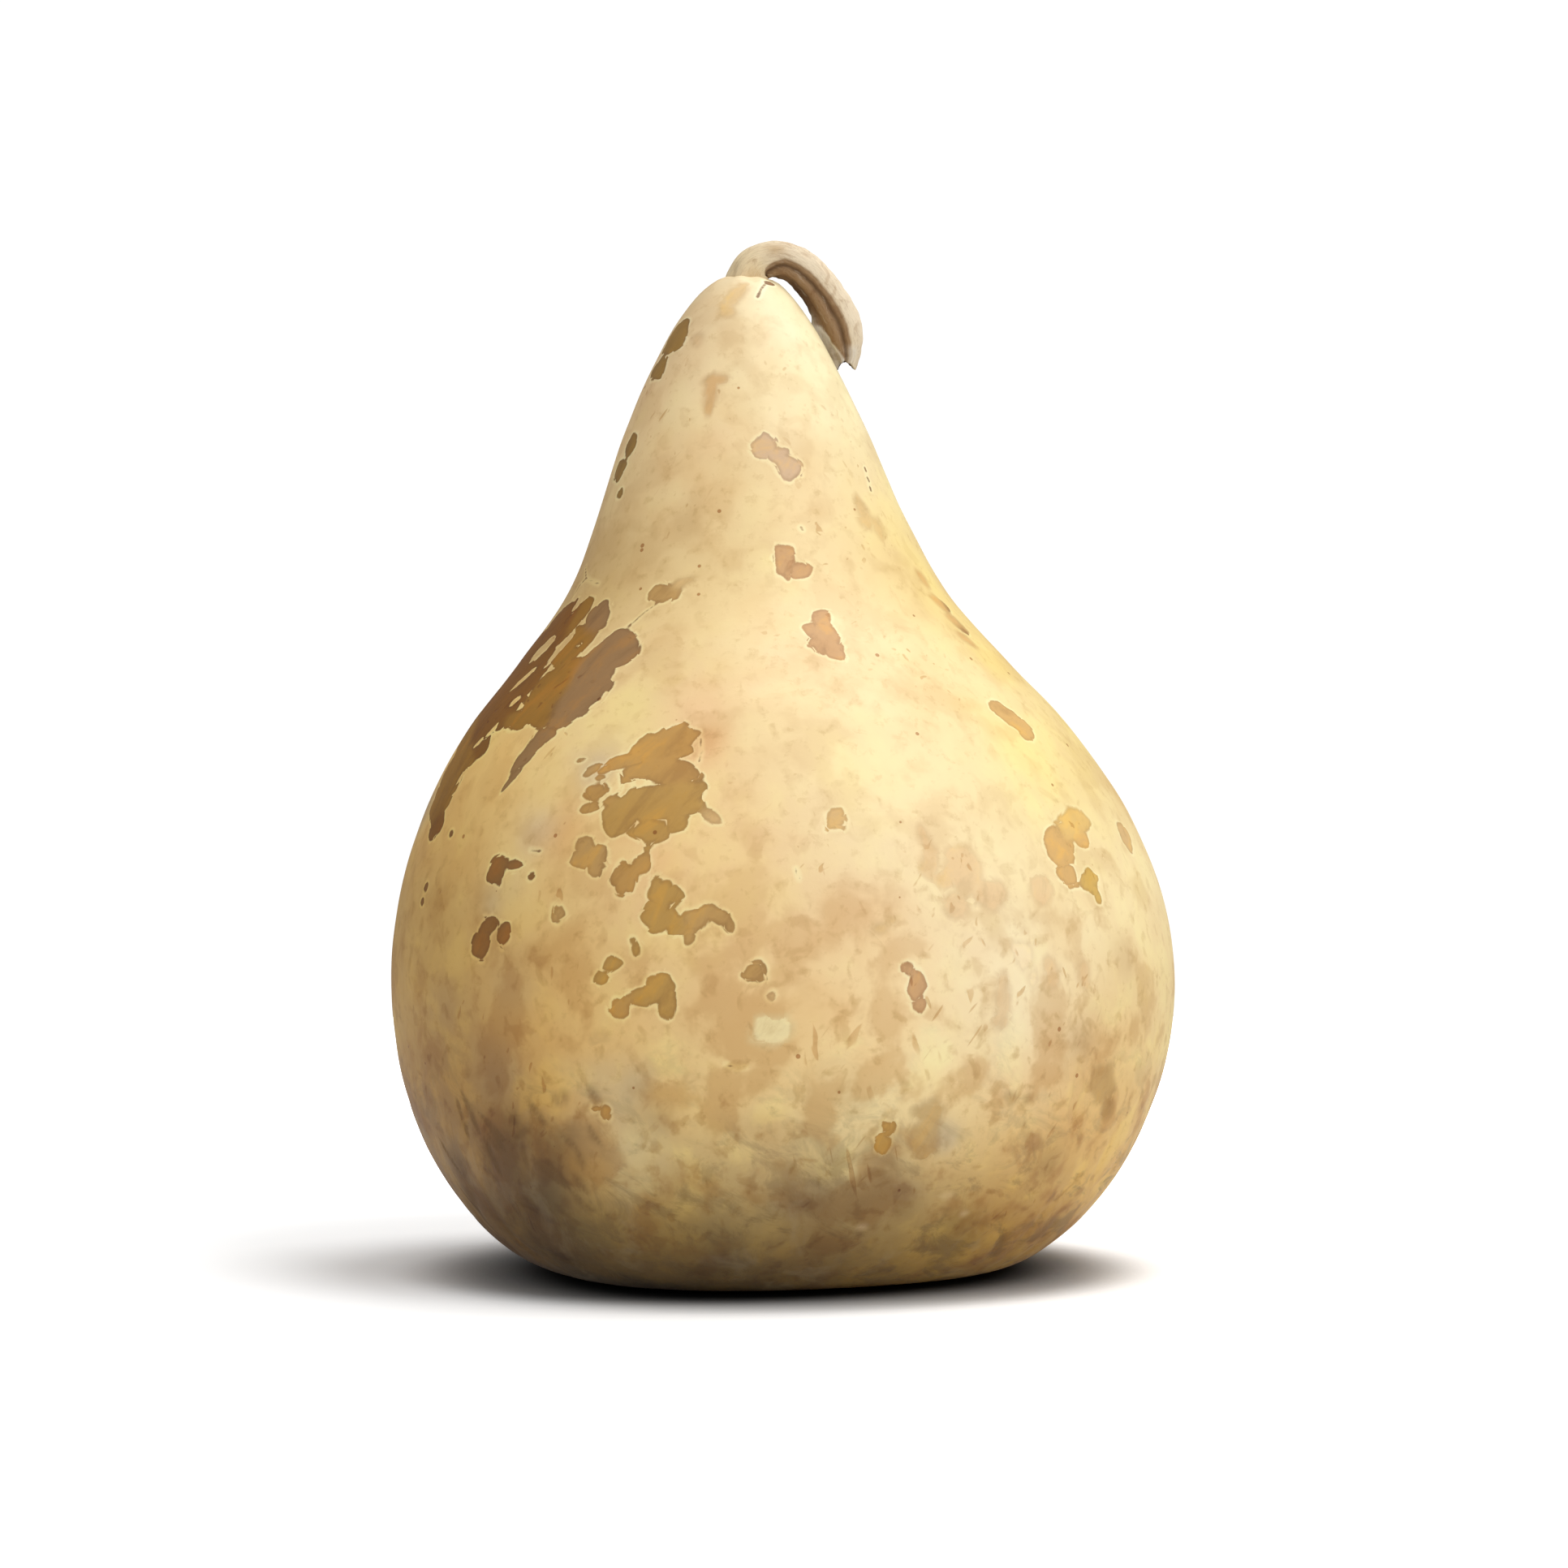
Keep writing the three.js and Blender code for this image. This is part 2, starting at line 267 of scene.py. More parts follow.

# soft washes: across, up, radius, red, green, blue, strength. Most are stain marks; the dark ones low on the
# underside are painted shade over its own darker mottling, and the pale one high on the crown is a painted
# highlight
washes = (
    (-17.9, 129, 9, 240, 196, 150, 0.5), (-16.6, 121, 5, 224, 176, 118, 0.7),
    (-20, 117, 7, 236, 190, 138, 0.4), (-49.4, 101.4, 7, 232, 178, 112, 0.55),
    (-27, 94, 6, 236, 184, 120, 0.4), (-32.7, 130.4, 6, 226, 204, 140, 0.35),
    (49.9, 139.9, 8, 252, 228, 140, 0.6), (55.7, 120, 9, 252, 226, 144, 0.55),
    (-41.7, 115.4, 6, 204, 186, 166, 0.5), (-55.2, 101.4, 6, 206, 184, 158, 0.4),
    (-66.2, 84, 5, 190, 170, 136, 0.4), (-64.9, 44.1, 7, 170, 148, 112, 0.4),
    (-40.8, 41.8, 8, 188, 176, 148, 0.4), (-32.7, 27.4, 8, 206, 192, 154, 0.5),
    # the pale wash at 216 up on the crown is a painted highlight; the dark one at 15 up is painted shade
    (-56, 15, 8, 76, 56, 24, 0.6), (-81, 106.5, 6, 158, 150, 138, 0.5), (1.8, 216, 6, 254, 238, 200, 0.5),
    (4, 196, 7, 253, 236, 196, 0.4), (-20, 171.5, 5, 206, 172, 116, 0.45),
    (-11.8, 191.4, 5, 242, 206, 160, 0.45), (38.6, 30, 4, 176, 166, 146, 0.5),
    # the dark washes below about 35 mm up are painted shade on the underside, over its own darker mottling
    (-61, 27.4, 8, 108, 84, 46, 0.65), (-74, 24, 7, 92, 72, 46, 0.5), (-52, 20.9, 7, 96, 76, 48, 0.6),
    (-45.5, 8.7, 7, 96, 80, 42, 0.5), (-28, 34, 5, 150, 122, 82, 0.4), (6.7, 17, 7, 112, 92, 64, 0.55),
    (24.8, 20.3, 6, 122, 96, 58, 0.5), (41.5, 8, 7, 150, 124, 60, 0.5), (62, 24, 6, 142, 116, 62, 0.45),
    (30, 14, 6, 126, 100, 54, 0.4), (20, 84, 8, 236, 196, 144, 0.35), (44, 78, 9, 236, 206, 164, 0.4),
    (-76, 60, 6, 168, 134, 88, 0.45), (80, 72, 6, 190, 152, 104, 0.4), (70, 52, 6, 176, 146, 104, 0.4),
    (-2, 142, 9, 250, 224, 180, 0.4), (30, 112, 9, 252, 226, 170, 0.45), (-62, 66, 7, 186, 160, 116, 0.4),
    (0, 24, 8, 176, 142, 96, 0.35),
)

# short dark strokes over the shaded lower left side
sootStrokes = {
    "seed": 5,
    "count": 22,
    "across": (-78, -42),
    "up": (10, 50),
    "long": (2.5, 7.5),
    "thick": (1.1, 2),
    "turn": (-75, -30),
}

# marks of the same kind round the sides and back, strewn by dice
backMarks = {
    "seed": 11,
    "patches": 34,
    "around": (8, 172),  # degrees round the upright axis, counted from the right side
    "heights": (20, 205, 90),  # lowest, highest, most usual
    "tones": ("olive", "ochre", "greyBrown", "chestnut", "mauve", "rose", "goldTan", "darkOlive"),
    "blots": (1, 6),  # to each patch
    "size": (1.6, 11, 4),
    "stray": (0.07, 5),  # how far a blot lies from its patch's middle, in radians and millimetres
    "squash": (0.5, 1.3),
    "turn": (-60, 60),
    "washes": 46,
    "washHeights": (15, 215),
    "washTones": ((236, 190, 138), (250, 226, 150), (196, 178, 152), (214, 176, 120), (252, 232, 190)),
    "washRadius": (6, 13),
    "washStrength": 0.4,
}

# the stem, in millimetres from the crown, where the rind's middle is
stem = {
    "radius": 4.6,
    "route": (
        (0.7, 0, -4), (1, 0, -1), (2, 0.1, 1.4), (4.4, 0.3, 2.8), (8, 0.6, 3.2), (12.3, 1, 1.6),
        (16.1, 1.4, -1.9), (19.4, 1.9, -6.8), (21.6, 2.4, -11.3), (22.8, 2.8, -16.5), (23.3, 3.2, -22.2),
    ),
    "girths": (0.97, 0.9, 0.9, 0.93, 0.97, 1.0, 1.07, 1.1, 0.9, 0.5),  # shares of radius, evenly along it
    "depth": 0.9,  # front to back against the width
    "rows": 150,  # of faces, along it
    "steps": 112,  # round it
    # the pale band's edge: shares of the length, then degrees from the outer side
    "bandEdge": ((0.12, 0.18, 0.3, 1), (170, 118, 88, 58)),
    # on the brown side: degrees past the pale band's edge, how far out or in, how wide
    "ridges": ((22, -0.15, 8), (44, 0.05, 12), (68, -0.09, 9), (4, -0.07, 5)),
    "backGrooves": ((205, 0.1), (243, 0.12), (282, 0.09), (322, 0.11)),  # degrees, depth
    "browning": (0.1, 0.17),  # where along the stem the brown side begins
    "flapEdge": ((0.6, 0.8, 1), (178, 136, 96)),  # the papery flap lies from here round to the inner side
    "flapStart": (0.6, 0.66),
    "lip": {"at": 166, "span": (0.62, 0.76), "height": 0.42, "width": 9},  # the flap's raised edge
    "flare": {"reach": 0.1, "height": 0.22, "folds": 5},  # of the foot; its reach is a share of the length
    "tear": 0.05,  # how deep the notch of the torn end is, as a share of the length
    "hollow": 3,  # how deep the torn end is hollow
    "endBelow": 12,  # the torn end is this far below the crown, at least
    "wander": 0.22,  # how far the surface wanders in and out
}

fibreRadius = 3  # the straightened stem, which carries the fibres and the surface's wandering
fibreLength = 60

stemTones = {
    "pale": (234, 216, 186),
    "footWarm": (236, 214, 172),
    "stain": (190, 152, 98),
    "brown": (158, 126, 90),
    "dark": (80, 54, 32),
    "grey": (212, 204, 190),
    # near white: the flap's pale torn edge with a painted highlight along it, and a pale spot near the torn
    # end
    "lip": (240, 234, 222),
}


def toLinear(red, green, blue):
    shares = np.array((red, green, blue), float) / 255
    return np.where(shares <= 0.04045, shares / 12.92, ((shares + 0.055) / 1.055) ** 2.4)


def smoothStep(value, low, high):
    share = np.clip((value - low) / (high - low), 0, 1)
    return share * share * (3 - 2 * share)


def curveThrough(points, stepsEach):
    # a centripetal Catmull-Rom curve, evenly spaced in its own parameter
    points = np.array(points, float)
    before = 2 * points[0] - points[1]
    after = 2 * points[-1] - points[-2]
    knots = np.vstack((before, points, after))
    gaps = np.sqrt(np.linalg.norm(np.diff(knots, axis=0), axis=1))
    share = np.linspace(0, 1, stepsEach, endpoint=False)[:, None]
    found = []
    for i in range(1, len(knots) - 2):
        a, b, c, d = knots[i - 1 : i + 3]
        ga, gb, gc = gaps[i - 1 : i + 2]
        leave = gb * ((b - a) / ga - (c - a) / (ga + gb) + (c - b) / gb)
        arrive = gb * ((c - b) / gb - (d - b) / (gb + gc) + (d - c) / gc)
        square = share**2
        cube = share**3
        found.append(
            (2 * cube - 3 * square + 1) * b
            + (cube - 2 * square + share) * leave
            + (3 * square - 2 * cube) * c
            + (cube - square) * arrive
        )
    found.append(points[-1:])
    return np.vstack(found)


def evenly(points, count):
    # the same line with its points at even distances
    lengths = np.concatenate(([0], np.cumsum(np.linalg.norm(np.diff(points, axis=0), axis=1))))
    places = np.linspace(0, lengths[-1], count)
    return np.stack([np.interp(places, lengths, points[:, i]) for i in range(points.shape[1])], axis=1)


def spunMesh(profile, steps):
    # a profile of radius and height, turned round the upright axis and closed at its poles
    bm = bmesh.new()
    verts = [bm.verts.new((radius, 0, height)) for radius, height in profile]
    edges = [bm.edges.new(pair) for pair in zip(verts, verts[1:])]
    bmesh.ops.spin(
        bm, geom=verts + edges, cent=(0, 0, 0), axis=(0, 0, 1), dvec=(0, 0, 0),
        angle=2 * math.pi, steps=steps, use_merge=True,
    )
    bmesh.ops.remove_doubles(bm, verts=bm.verts, dist=1e-4)
    bmesh.ops.recalc_face_normals(bm, faces=bm.faces)
    return bm


def placesOf(bm):
    return np.array([vert.co[:] for vert in bm.verts])


def moveTo(bm, places):
    for vert, place in zip(bm.verts, places):
        vert.co = place
    bm.normal_update()


def noiseAt(places, width, seed=0.0):
    shifted = places / width + np.array((seed, seed * 1.7, seed * 2.3))
    return np.array([noise.noise(place) for place in shifted.tolist()])


def middleAt(rise):
    across = smoothStep(rise, *fruit["shiftSpan"])
    lean = fruit["neckLean"] * smoothStep(rise, *fruit["leanSpan"])
    return fruit["axisShift"][0] * across + lean, fruit["axisShift"][1] * across


def swellAt(angle, rise):
    swell = 1 - (1 - fruit["depthShare"]) * np.sin(angle) ** 2
    for count, depth, start in fruit["lobes"]:
        swell += depth * np.sin(count * angle) * np.sin(math.pi * rise + start)
    heel = fruit["heel"]
    facing = np.maximum(0, np.cos(angle - heel["towards"])) ** heel["tightness"]
    return swell + heel["swell"] * facing * (1 - smoothStep(rise, 0, heel["top"]))


def grownFruit():
    profile = curveThrough(fruit["outline"], 24) * (fruit["bellyRadius"], fruit["crownHeight"])
    profile = evenly(np.vstack(((0, 0), profile)), fruit["rows"])
    profile[:, 0] = np.maximum(profile[:, 0], 0)
    bm = spunMesh(profile, fruit["steps"])
    places = placesOf(bm)
    rise = places[:, 2] / fruit["crownHeight"]
    swell = swellAt(np.arctan2(places[:, 1], places[:, 0]), rise)
    acrossMiddle, backMiddle = middleAt(rise)
    places[:, 0] = acrossMiddle + places[:, 0] * swell
    places[:, 1] = backMiddle + places[:, 1] * swell
    moveTo(bm, places)
    return bm


# a blot is a flake with uneven sides
flake = {
    "sides": (5, 7),
    "out": (0.78, 1.08),  # how far out the sides lie
    "sharp": 9,  # how sharp the corners are
    "slantLimits": (0.3, 0.5),  # across and up, where a blot near the outline stops being stretched
    "through": 1.2,  # how deep into the fruit a blot counts, so that it doesn't show on the other side
    "blend": 0.9,  # how softly the tones of neighbouring blots run together
    "ragSize": 4,  # smaller blots have smoother edges
}


class Spot:
    # a place on the rind with its own across and up directions
    def __init__(self, place, normal):
        self.place = np.array(place)
        self.normal = np.array(normal)
        across = np.cross((0, 0, 1), self.normal)
        self.across = across / np.linalg.norm(across)
        self.up = np.cross(self.normal, self.across)
        self.nearness = (self.place[1] - eye.y) / -eye.y  # nearer things look larger


def spotSeen(tree, across, up):
    # the spot behind this point of the upright plane through the axis, seen from the front; a point
    # that lies just outside the fruit's outline is moved inwards
    for inward in (1, 0.985, 0.97, 0.95, 0.92):
        aim = (Vector((across * inward, 0, up)) - eye).normalized()
        place, normal, _, _ = tree.ray_cast(eye, aim)
        if place:
            return Spot(place, normal)
    return None


def spotRound(tree, angle, height):
    # the spot at this height in a direction from the axis
    start = Vector((*[float(v) for v in middleAt(height / fruit["crownHeight"])], height))
    place, normal, _, _ = tree.ray_cast(start, Vector((math.cos(angle), math.sin(angle), 0)))
    return Spot(place, normal) if place else None


def blotDistance(places, spot, width, height, turn, foreshortened=True):
    # about how far each place is from the edge of a flake with uneven sides, negative inside it
    offset = places - spot.place
    side = offset @ spot.across
    rise = offset @ spot.up
    halfWidth = width / 2
    halfHeight = height / 2
    if foreshortened:
        halfWidth *= spot.nearness / max(flake["slantLimits"][0], abs(spot.across[0]))
        halfHeight *= spot.nearness / max(flake["slantLimits"][1], abs(spot.up[2]))
    slant = math.radians(turn)
    along = side * math.cos(slant) + rise * math.sin(slant)
    over = rise * math.cos(slant) - side * math.sin(slant)
    dice = random.Random(round(100 * width + 1000 * height + 7 * turn))
    sides = dice.randint(*flake["sides"])
    reach = np.zeros(len(places))
    for i in range(sides):
        angle = 2 * math.pi * (i + dice.uniform(0, 0.7)) / sides
        out = along / halfWidth * math.cos(angle) + over / halfHeight * math.sin(angle)
        reach += np.maximum(0, out / dice.uniform(*flake["out"])) ** flake["sharp"]
    reach = (reach + 1e-9) ** (1 / flake["sharp"])
    distance = (reach - 1) * np.hypot(along, over) / reach
    depth = np.abs(offset @ spot.normal)
    return np.maximum(distance, depth - flake["through"] * max(halfWidth, halfHeight))


def threadDistance(places, spots, thickness):
    # how far each place is from a thread laid through the spots
    nearest = np.full(len(places), 1e3)
    for first, second in zip(spots, spots[1:]):
        run = second.place - first.place
        share = np.clip((places - first.place) @ run / (run @ run), 0, 1)
        gap = np.linalg.norm(places - first.place - share[:, None] * run, axis=1)
        nearest = np.minimum(nearest, gap - thickness / 2)
    return nearest


def plannedMarks(tree):
    # every blot and thread on the rind with its spot, tone and size, front ones first
    blots = []
    for tone, shapes in patches:
        for across, up, width, height, turn in shapes:
            spot = spotSeen(tree, across, up)
            if spot:
                blots.append((tone, spot, width, height, turn, True))
    dice = random.Random(sootStrokes["seed"])
    for _ in range(sootStrokes["count"]):
        spot = spotSeen(tree, dice.uniform(*sootStrokes["across"]), dice.triangular(*sootStrokes["up"]))
        shape = [dice.uniform(*sootStrokes[trait]) for trait in ("long", "thick", "turn")]
        if spot:
            blots.append(("soot", spot, *shape, True))
    dice = random.Random(backMarks["seed"])
    strayRound, strayUp = backMarks["stray"]
    for _ in range(backMarks["patches"]):
        angle = math.radians(dice.uniform(*backMarks["around"]))
        height = dice.triangular(*backMarks["heights"])
        tone = dice.choice(backMarks["tones"])
        for _ in range(dice.randint(*backMarks["blots"])):
            size = dice.triangular(*backMarks["size"])
            aside = dice.uniform(-strayRound, strayRound)
            spot = spotRound(tree, angle + aside, height + dice.uniform(-strayUp, strayUp))
            shape = (size, size * dice.uniform(*backMarks["squash"]), dice.uniform(*backMarks["turn"]), False)
            if spot:
                blots.append((tone, spot, *shape))
    slits = [(spotSeen(tree, across, up), *shape) for across, up, *shape in bareSlits]
    threads = [([spotSeen(tree, *point) for point in points], thickness) for thickness, points in cracks]
    return blots, slits, threads


def patchField(places, marks):
    # the distance to the nearest patch, its tone with the strength it covers with, and how ragged it is
    blots, slits, threads = marks
    distances = [blotDistance(places, spot, *shape) for _, spot, *shape in blots]
    names = [tone for tone, *_ in blots]
    rags = [min(1, min(width, height) / flake["ragSize"]) for _, _, width, height, *_ in blots]
    for spots, thickness in threads:
        distances.append(threadDistance(places, spots, thickness))
        names.append("crack")
        rags.append(0.1)
    distances = np.array(distances, dtype=np.float32)
    nearest = distances.min(axis=0)
    weights = np.exp(-(distances - nearest) / flake["blend"])
    traits = np.array([(*toLinear(*tones[name][0]), tones[name][1], rag) for name, rag in zip(names, rags)])
    blend = (weights.T @ traits) / weights.sum(axis=0)[:, None]
    for spot, *shape in slits:
        nearest = np.maximum(nearest, -blotDistance(places, spot, *shape))
    return nearest, blend[:, :4], blend[:, 4]


def groundAndShadingField(places, tree):
    # the ground colour everywhere, blended from the listed ones with their painted shade and painted light,
    # with soft washes over it that are partly real stain marks, partly painted shade on the underside and a
    # painted highlight on the crown
    total = np.zeros((len(places), 3))
    share = np.zeros(len(places))
    for across, up, *colour in groundAndShadingTones:
        spot = spotSeen(tree, across, up)
        if not spot:
            continue
        linear = toLinear(*colour)
        middle = float(middleAt(up / fruit["crownHeight"])[1])
        opposite = np.array((spot.place[0], 2 * middle - spot.place[1], spot.place[2]))
        for centre in (spot.place, opposite):
            gap = np.linalg.norm(places - centre, axis=1)
            weight = np.exp(-((gap / groundReach) ** 2) / 2) + groundFloor / (1 + (gap / groundReach) ** 4)
            total += weight[:, None] * linear
            share += weight
    ground = total / share[:, None]
    ragged = 1 + 0.55 * noiseAt(places, 9, 3.1)
    dice = random.Random(backMarks["seed"] + 1)
    stainsAndPaintedLight = [(spotSeen(tree, across, up), *rest) for across, up, *rest in washes]
    for _ in range(backMarks["washes"]):
        spot = spotRound(tree, dice.uniform(0, math.pi), dice.uniform(*backMarks["washHeights"]))
        radius = dice.uniform(*backMarks["washRadius"])
        stainsAndPaintedLight.append((spot, radius, *dice.choice(backMarks["washTones"]), backMarks["washStrength"]))
    for spot, radius, red, green, blue, strength in stainsAndPaintedLight:
        if not spot:
            continue
        gap = np.linalg.norm(places - spot.place, axis=1) * ragged
        weight = strength * np.exp(-((gap / radius) ** 2))
        ground += weight[:, None] * (toLinear(red, green, blue) - ground)
    return ground


def roughened(bm):
    # dents, underside creases, the collar at the crown and the blossom's scar
    places = placesOf(bm)
    normals = np.array([vert.normal[:] for vert in bm.verts])
    move = np.zeros(len(places))
    for width, depth in fruit["dents"]:
        move += depth * noiseAt(places, width, width)
    creases = fruit["creases"]
    low = 1 - smoothStep(places[:, 2], *creases["span"])
    fold = 1 - np.abs(noiseAt(places * creases["stretch"], creases["width"], 5.5)) * creases["narrow"]
    move -= creases["depth"] * low * np.maximum(0, fold) ** 2

    collar = fruit["collar"]
    crownAcross, crownBack = [float(v) for v in middleAt(1)]
    side = places[:, 0] - crownAcross - collar["shift"]
    back = places[:, 1] - crownBack
    nearCrown = places[:, 2] > 0.87 * fruit["crownHeight"]
    ring = np.exp(-(((np.hypot(side, back) - collar["radius"]) / collar["width"]) ** 2)) * nearCrown
    folds = 0.6 + 0.4 * np.cos(collar["folds"] * np.arctan2(back, side) + 0.8)
    move += collar["height"] * ring * folds
    places += normals * (move * smoothStep(places[:, 2], 0, fruit["flatFade"]))[:, None]

    scar = fruit["scar"]
    middle = np.hypot(places[:, 0], places[:, 1])
    underneath = places[:, 2] < 0.09 * fruit["crownHeight"]
    hollow = np.exp(-((middle / scar["radius"]) ** 2)) * underneath
    pucker = 1 + 0.3 * np.cos(scar["folds"] * np.arctan2(places[:, 1], places[:, 0]))
    button = np.exp(-((middle / scar["button"]) ** 2)) * underneath
    places[:, 2] += scar["depth"] * (hollow * pucker - 0.7 * button)
    places[:, 2] = np.maximum(places[:, 2], 0)
    moveTo(bm, places)


def finerAtEdges(bm, marks):
    # smaller faces where a patch or a thread has its edge
    distance = patchField(placesOf(bm), marks)[0]
    bm.verts.index_update()
    close = np.abs(distance) < fruit["finishEdge"]
    edges = [edge for edge in bm.edges if close[edge.verts[0].index] or close[edge.verts[1].index]]
    bmesh.ops.subdivide_edges(bm, edges=edges, cuts=1, use_grid_fill=True)
    bmesh.ops.triangulate(bm, faces=[face for face in bm.faces if len(face.verts) > 4])


def inScene(name, data):
    thing = bpy.data.objects.new(name, data)
    bpy.context.scene.collection.objects.link(thing)
    return thing


def asObject(bm, name, material):
    # a bmesh in millimetres becomes an object in metres
    bmesh.ops.scale(bm, vec=(millimetre,) * 3, verts=bm.verts)
    mesh = bpy.data.meshes.new(name)
    bm.to_mesh(mesh)
    bm.free()
    mesh.shade_smooth()
    mesh.materials.append(material)
    return inScene(name, mesh)


def writeValues(mesh, name, values, kind="FLOAT", key="value"):
    attribute = mesh.attributes.new(name, kind, "POINT")
    attribute.data.foreach_set(key, np.asarray(values, dtype=np.float32).ravel())


def writeColours(mesh, name, colours):
    rows = np.ones((len(mesh.vertices), 4))
    rows[:, : colours.shape[1]] = colours
    writeValues(mesh, name, rows, "FLOAT_COLOR", "color")


# shader helpers: a value in inputs is either a number or the output of another node
def addNode(tree, kind, inputs, **settings):
    node = tree.nodes.new(kind)
    for name, value in settings.items():
        setattr(node, name, value)
    for key, value in inputs.items():
        if isinstance(value, bpy.types.NodeSocket):
            tree.links.new(value, node.inputs[key])
        else:
            node.inputs[key].default_value = value
    return node


def noiseOf(tree, places, scale, detail=3.0, roughness=0.55, distortion=0.0):
    inputs = {"Vector": places, "Scale": scale, "Detail": detail}
    inputs |= {"Roughness": roughness, "Distortion": distortion}
    return addNode(tree, "ShaderNodeTexNoise", inputs).outputs[0]


def mathOf(tree, operation, first, second=0.0, third=0.0):
    node = addNode(tree, "ShaderNodeMath", {0: first, 1: second, 2: third}, operation=operation)
    return node.outputs[0]


def rangeOf(tree, value, low, high, toLow=0.0, toHigh=1.0):
    inputs = {"Value": value, "From Min": low, "From Max": high, "To Min": toLow, "To Max": toHigh}
    return addNode(tree, "ShaderNodeMapRange", inputs, interpolation_type="SMOOTHSTEP").outputs[0]


def mixOf(tree, share, first, second, blend="MIX"):
    node = tree.nodes.new("ShaderNodeMix")
    node.data_type = "RGBA"
    node.blend_type = blend
    for index, value in ((0, share), (6, first), (7, second)):
        if isinstance(value, bpy.types.NodeSocket):
            tree.links.new(value, node.inputs[index])
        elif index == 0:
            node.inputs[index].default_value = value
        else:
            node.inputs[index].default_value = (*toLinear(*value), 1)
    return node.outputs[2]


def attributeOf(tree, name, output="Color"):
    return addNode(tree, "ShaderNodeAttribute", {}, attribute_name=name).outputs[output]


def stretchedPlaces(tree, places, stretch, turn=(0, 0, 0)):
    # a pattern read from these places is this many times longer each way, along turned directions
    inputs = {"Vector": places, "Scale": stretch, "Rotation": turn}
    return addNode(tree, "ShaderNodeMapping", inputs, vector_type="TEXTURE").outputs[0]


def scratchesOf(tree, places, scale, turn):
    # short thin strokes, all leaning one way
    drawn = stretchedPlaces(tree, places, (1, 1, 6), turn)
    return rangeOf(tree, noiseOf(tree, drawn, scale, 1, 0.5, 0.3), 0.69, 0.75)


def specksOf(tree, places, scale, size):
    # round specks in some of the cells of a cell pattern
    cells = addNode(tree, "ShaderNodeTexVoronoi", {"Vector": places, "Scale": scale})
    chance = addNode(tree, "ShaderNodeSeparateColor", {0: cells.outputs["Color"]}).outputs[0]
    reach = rangeOf(tree, chance, 0.8, 1, -0.1, size)
    inside = mathOf(tree, "SUBTRACT", reach, cells.outputs["Distance"])
    return rangeOf(tree, inside, 0, 0.03)


def newMaterial(name):
    material = bpy.data.materials.new(name)
    material.use_nodes = True
    tree = material.node_tree
    places = addNode(tree, "ShaderNodeTexCoord", {}).outputs["Object"]
    return material, tree, tree.nodes["Principled BSDF"], places


def addBump(tree, shader, relief, strength):
    inputs = {"Height": relief, "Strength": strength, "Distance": bumpDepth}
    bump = addNode(tree, "ShaderNodeBump", inputs)
    tree.links.new(bump.outputs[0], shader.inputs["Normal"])


bumpDepth = 0.0006  # metres

rindLook = {
    "roughness": 0.5,
    "patchRoughness": 0.62,
    "specular": 0.36,
    "edgeJag": 1.2,  # millimetres, how ragged a patch's edge is
    "edgeGrain": 0.4,
    "edgeSoft": 0.2,
    "faintSoft": 1.6,  # how soft the edge of a faint patch is
    "rimWidth": 1.1,  # the pale rim outside a patch
    "rimShare": 0.5,
    "bump": 0.7,
    # how many features of each pattern there are to a metre
    "grains": {
        "cloud": 26, "mottle": 76, "blotch": 210, "grain": 420, "strokes": 80, "ash": 60, "chips": 230,
        "fray": 620, "worn": 150, "scratched": 30, "specks": 230,
    },
    "weatherSpan": (0.02, 0.12),  # metres up, between which the rind gets less weathered
    "weather": (0.62, 0.2),  # how weathered it is below and above that
    "grimeTop": (0.006, 0.066),  # metres up, between which the grime of the underside fades out
    "tints": {
        "dusty": (232, 204, 162), "sunned": (240, 228, 190), "weathered": (212, 186, 154),
        "bleached": (232, 228, 206), "blotched": (220, 204, 178), "grainy": (216, 198, 168),
        "grimy": (98, 74, 40), "ashen": (176, 160, 128), "rim": (255, 253, 240), "wornPale": (240, 214, 150),
        "wornDark": (184, 160, 120), "patchEdge": (170, 138, 96), "scratch": (212, 182, 142),
        "speck": (186, 140, 92),
    },
}


